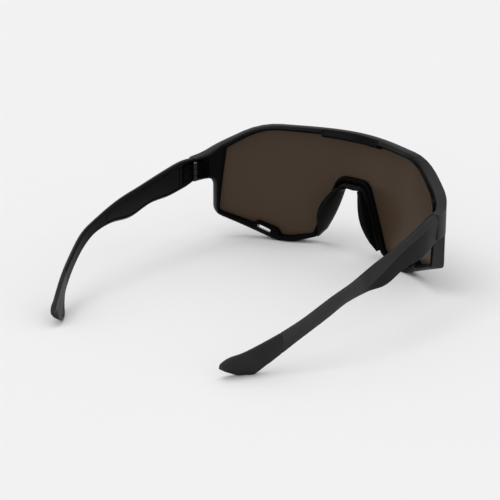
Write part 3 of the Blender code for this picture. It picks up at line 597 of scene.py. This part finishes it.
blackened, shader, line = new_finish("blackened_steel", Metallic=1.0)
wear, fine = grain(line, 1.5 * MM), grain(line, 0.12 * MM, 2.0)
feed(shader, Base_Color=mixed(line, wear, (0.015, 0.015, 0.016), (0.04, 0.04, 0.043)),
     Roughness=0.3 + wear * 0.15,
     Normal=line.node("Bump", Strength=0.2, Distance=0.01 * MM, Height=fine))
bright, shader, line = new_finish("bright_steel", Metallic=1.0)
wear = grain(line, 0.8 * MM)
feed(shader, Base_Color=mixed(line, wear, (0.06, 0.06, 0.062), (0.12, 0.12, 0.125)),
     Roughness=0.2 + wear * 0.15)
for side_name in ("left", "right"):
    frame["nodes"]["hinge_frame_leaf_" + side_name].data.materials[0] = blackened
    frame["nodes"]["hinge_temple_leaf_" + side_name].data.materials[0] = blackened
    frame["nodes"]["hinge_screw_" + side_name].data.materials[0] = bright
    frame["nodes"]["temple_wire_" + side_name].data.materials[0] = bright


# Arms.  Black nylon, faceted outside with one long crease that runs out at the step in the
# lower edge, light and shade painted on its facets, and recessed inside for a strip.  Shapes run
# from 0 at the hinge to 1 at the end.

arm_start = hinge_y + gap / 2
arm_length = cad_high.y + 0.36 * MM - arm_start
arm_x = hinge_x + end_thickness + 0.15 * MM
swell = [(0.0, 0.0), (0.1, 1.6), (0.28, 2.2), (0.44, 2.0), (0.556, 1.0), (0.66, -1.6),
         (0.79, -7.9), (0.9, -15.4), (1.0, -24.0)]
top_line = [(0.0, 42.9), (0.05, 42.7), (0.14, 40.6), (0.28, 37.2), (0.4, 34.6), (0.52, 30.7),
            (0.634, 26.9), (0.752, 20.1), (0.87, 13.7), (0.933, 10.4), (0.965, 9.2), (1.0, 7.2)]
low_line = [(0.0, 31.0), (0.044, 29.0), (0.123, 27.1), (0.23, 26.6), (0.345, 23.5),
            (0.455, 24.4), (0.556, 23.2), (0.634, 19.8), (0.752, 12.7), (0.86, 4.2),
            (0.897, 0.3), (0.91, 0.0), (0.94, 0.0), (0.97, 1.6), (1.0, 3.6)]
thick_line = [(0.0, end_thickness / MM), (0.25, 3.0), (0.8, 3.0), (1.0, 2.8)]
foot_line = [(0.0, 0.0), (0.83, 0.0), (0.87, 0.8), (0.92, 2.3), (1.0, 1.8)]
rise_line = [(0.0, 0.0), (0.85, 0.0), (0.887, 2.2), (0.933, 5.1), (0.965, 5.7), (1.0, 3.2)]
crease_line = [(0.0, 0.22), (0.13, 0.2), (0.26, 0.26), (0.36, 0.44), (0.43, 0.66), (0.48, 0.85),
               (0.56, 0.6), (0.65, 0.5), (1.0, 0.5)]
strip_from, strip_to, strip_depth = 0.07, 0.49, 1.1 * MM
tip_from, seam = 0.815, 0.12 * MM


def smooth(knots, t):
    """Smooth curve through (t, value) knots."""
    last = len(knots) - 1
    i = max(j for j in range(last) if knots[j][0] <= t or j == 0)
    (t0, v0), (t1, v1) = knots[i], knots[i + 1]
    slopes = []
    for j in (i, i + 1):
        low, high = max(j - 1, 0), min(j + 1, last)
        slopes.append((knots[high][1] - knots[low][1]) / (knots[high][0] - knots[low][0]))
    span = t1 - t0
    f = (t - t0) / span
    return (v0 * (1 + 2 * f) * (1 - f) ** 2 + slopes[0] * span * f * (1 - f) ** 2
            + v1 * f * f * (3 - 2 * f) + slopes[1] * span * f * f * (f - 1))


def arm_point(s, t, inward, z):
    """World point a distance in from the arm's outer face."""
    before, after = max(t - 0.01, 0.0), min(t + 0.01, 1.0)
    slope = (smooth(swell, after) - smooth(swell, before)) * MM / ((after - before) * arm_length)
    slope *= min(1.0, t / 0.08)
    length = math.hypot(1.0, slope)
    x = arm_x + smooth(swell, t) * MM
    return Vector((s * (x - inward / length), arm_start + t * arm_length + inward * slope / length, z))


def strip_span(t):
    low, high = max(smooth(low_line, t), 0.0) * MM, smooth(top_line, t) * MM
    margin = min(1.6 * MM, (high - low) * 0.3)
    return low + margin, high - margin


def arm_section(s, t, shrink=0.0, recess=0.0):
    """Section of the arm: crease outside, chamfer below, recess for the strip inside."""
    low, high = max(smooth(low_line, t), 0.0) * MM, smooth(top_line, t) * MM
    thick = smooth(thick_line, t) * MM
    rise = max(smooth(rise_line, t), 0.05) * MM
    foot = max(smooth(foot_line, t), 0.0) * MM
    height = high - low - rise
    lean = min(0.9 * MM, thick * 0.25)
    crease = high - smooth(crease_line, t) * height
    edge = min(0.6 * MM, height * 0.15)
    chamfer = min(1.2 * MM, height * 0.15)
    under = max(min(rise * 0.75, thick + foot - edge - chamfer - lean * 0.7 - 1.2 * MM), 0.1 * MM)
    strip_low, strip_high = strip_span(t)
    full = min(max((t - 0.48) / 0.08, 0.0), 1.0)        # crease gives way to a rounded face
    belly = lean * (0.7 + 0.6 * full)
    under = min(under, thick + foot - chamfer - belly - 0.6 * MM)
    corners = [(lean * (1 + 0.4 * full), high, edge * 1.3), (0.0, crease, (0.25 + 3.2 * full) * MM),
               (belly, low + rise, edge), (belly + under, low, edge * 0.6),
               (thick + foot - chamfer, low, 0.5 * MM), (thick + foot, low + chamfer, 0.5 * MM),
               (thick + foot * 0.6, strip_low, 0.08 * MM),
               (thick + foot * 0.6 - recess, strip_low + 0.15 * MM, 0.05 * MM),
               (thick - recess, strip_high - 0.15 * MM, 0.05 * MM), (thick, strip_high, 0.08 * MM),
               (thick, high, edge)]
    middle = (thick / 2, (low + high) / 2)
    points = [[m + (p - m) * (1 - shrink) for p, m in zip(point, middle)] for point in softened(corners)]
    return [arm_point(s, t, inward, max(z, 0.0)) for inward, z in points]


def shares(start, end, count):
    return [start + (end - start) * i / count for i in range(count + 1)]


def arm_satin_and_painted_light(t):
    """Satin above and behind the crease, smooth black below it, plain inside.

    The satin share also paints light on the upper facet and the rear face, fading towards the
    end, and its lack paints shade on the lower facet.
    """
    behind = min(max((t - 0.465) / 0.03, 0.0), 1.0) * (1 - 0.9 * max(t - 0.55, 0.0))
    return [0.7 + 0.3 * behind] * 5 + [0.4 + 0.6 * behind] + [behind] * 8 + [0.5 * behind] * 2 + [0.15] * 28


arm_nylon, shader, line = new_finish("satin_nylon", Specular_IOR_Level=0.04)
satin = line.node("Attribute", {"attribute_name": "satin"}, out=2)
smudge, fine = grain(line, 12 * MM), grain(line, 0.22 * MM, 2.0)
# The satin share lightens the colour: painted light on the upper facet and rear face, painted shade on the
# lower facet.
feed(shader,
     Base_Color=mixed(line, satin * (0.8 + 0.2 * smudge), (0.003, 0.003, 0.003), (0.048, 0.048, 0.049)),
     Roughness=0.26 + satin * 0.1 + smudge * 0.06,
     Normal=line.node("Bump", Strength=0.15, Distance=0.02 * MM, Height=fine))
for side_name, s in (("left", 1), ("right", -1)):
    wall = 0.15 * MM / arm_length
    front_part = shares(0.002, strip_from, 10)
    strip_part = shares(strip_from + wall, strip_to - wall, 54)
    rear_part = shares(strip_to, tip_from - 0.004, 44)
    rings = [arm_section(s, 0.0, shrink=0.03)] + [arm_section(s, t) for t in front_part]
    rings += [arm_section(s, t, recess=strip_depth) for t in strip_part]
    rings += [arm_section(s, t) for t in rear_part]
    rings.append(arm_section(s, tip_from - seam / arm_length, shrink=0.03))
    marks = [arm_satin_and_painted_light(t) for t in [0.0] + front_part + strip_part + rear_part + [tip_from]]
    arm = skin("arm_" + side_name, rings, marks=marks)
    cut(arm, pocket(s, 1))
    arm.data.materials.append(arm_nylon)
    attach(arm, "arm_" + side_name)
    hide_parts("temple_" + side_name)


# Inner strips.  A matte charcoal cover let into the inner face of each arm.

strip_finish, shader, line = new_finish("charcoal_cover", Specular_IOR_Level=0.1)
smudge, fine = grain(line, 7 * MM), grain(line, 0.3 * MM, 2.0)
feed(shader, Base_Color=mixed(line, smudge, (0.004, 0.004, 0.0045), (0.008, 0.008, 0.0085)),
     Roughness=0.42 + smudge * 0.12,
     Normal=line.node("Bump", Strength=0.2, Distance=0.02 * MM, Height=fine))
for side_name, s in (("left", 1), ("right", -1)):
    rings = []
    margin = 2 * gap / arm_length
    for t in shares(strip_from + margin, strip_to - margin, 54):
        low, high = strip_span(t)
        low, high = low + 0.15 * MM + gap, high - 0.15 * MM - gap
        thick = smooth(thick_line, t) * MM
        floor, face = thick - strip_depth + gap, thick - 0.1 * MM
        section = softened([(floor, low, 0.1 * MM), (face, low, 0.3 * MM),
                            (face, high, 0.3 * MM), (floor, high, 0.1 * MM)])
        rings.append([arm_point(s, t, inward, z) for inward, z in section])
    strip = skin("strip_" + side_name, rings)
    strip.data.materials.append(strip_finish)
    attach(strip, "arm_" + side_name)
    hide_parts("temple_strip_" + side_name)


# Tips.  Soft dark grey rubber moulded over the end of each arm, with its underside raised
# outside so that it rests on its inner edge.

tip_rubber, shader, line = new_finish("tip_rubber", Specular_IOR_Level=0.07)
bloom, fine = grain(line, 8 * MM), grain(line, 0.2 * MM, 2.0)
feed(shader, Base_Color=mixed(line, bloom, (0.018, 0.018, 0.0185), (0.030, 0.030, 0.031)),
     Roughness=0.32 + bloom * 0.12,
     Normal=line.node("Bump", Strength=0.2, Distance=0.02 * MM, Height=fine))
for side_name, s in (("left", 1), ("right", -1)):
    rings = [arm_section(s, tip_from, shrink=0.03)]
    rings += [arm_section(s, t) for t in shares(tip_from + 0.004, 0.965, 30)]
    for i in range(1, 9):
        turn = math.pi / 2 * i / 8
        shrink = 0.72 * (1 - math.cos(turn)) ** 1.2
        rings.append(arm_section(s, 0.965 + 0.035 * math.sin(turn), shrink))
    tip = skin("tip_" + side_name, rings)
    tip.data.materials.append(tip_rubber)
    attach(tip, "arm_" + side_name)
    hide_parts("temple_tip_" + side_name)


# Table, light and camera.  A pale table that runs into a backdrop of the same tone, an even
# pale studio with a broad lamp above it, and a long lens.

bpy.ops.object.select_all(action="DESELECT")
bpy.ops.mesh.primitive_plane_add(size=8)
table = bpy.context.object
table.name = "table"
paper, shader, line = new_finish("pale_paper", Roughness=1.0, Specular_IOR_Level=0.0)
feed(shader, Base_Color=mixed(line, grain(line, 40 * MM), (0.93, 0.93, 0.93), (0.94, 0.94, 0.94)))
table.data.materials.append(paper)

world = bpy.data.worlds.new("studio")
bpy.context.scene.world = world
world.use_nodes = True
line = Line(world.node_tree)
seen = line.node("LightPath", out=0)
backdrop = world.node_tree.nodes["Background"]
feed(backdrop, Strength=0.7 + seen * 0.165)
backdrop.inputs["Color"].default_value = (1, 1, 1, 1)

bpy.ops.object.light_add(type="SUN", rotation=(math.radians(-16), math.radians(12), 0))
lamp = bpy.context.object
lamp.data.energy = 0.84
lamp.data.angle = math.radians(48)
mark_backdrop(table, lamp)

bpy.ops.object.camera_add(location=(-0.5020, 0.6517, 0.3205))
camera = bpy.context.object
camera.data.lens = 139.0
target = Vector((0.0, 0.0022, 0.0233))
camera.rotation_euler = (target - camera.location).to_track_quat("-Z", "Y").to_euler()
bpy.context.scene.camera = camera
bpy.context.scene.view_settings.view_transform = "Standard"

low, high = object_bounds()
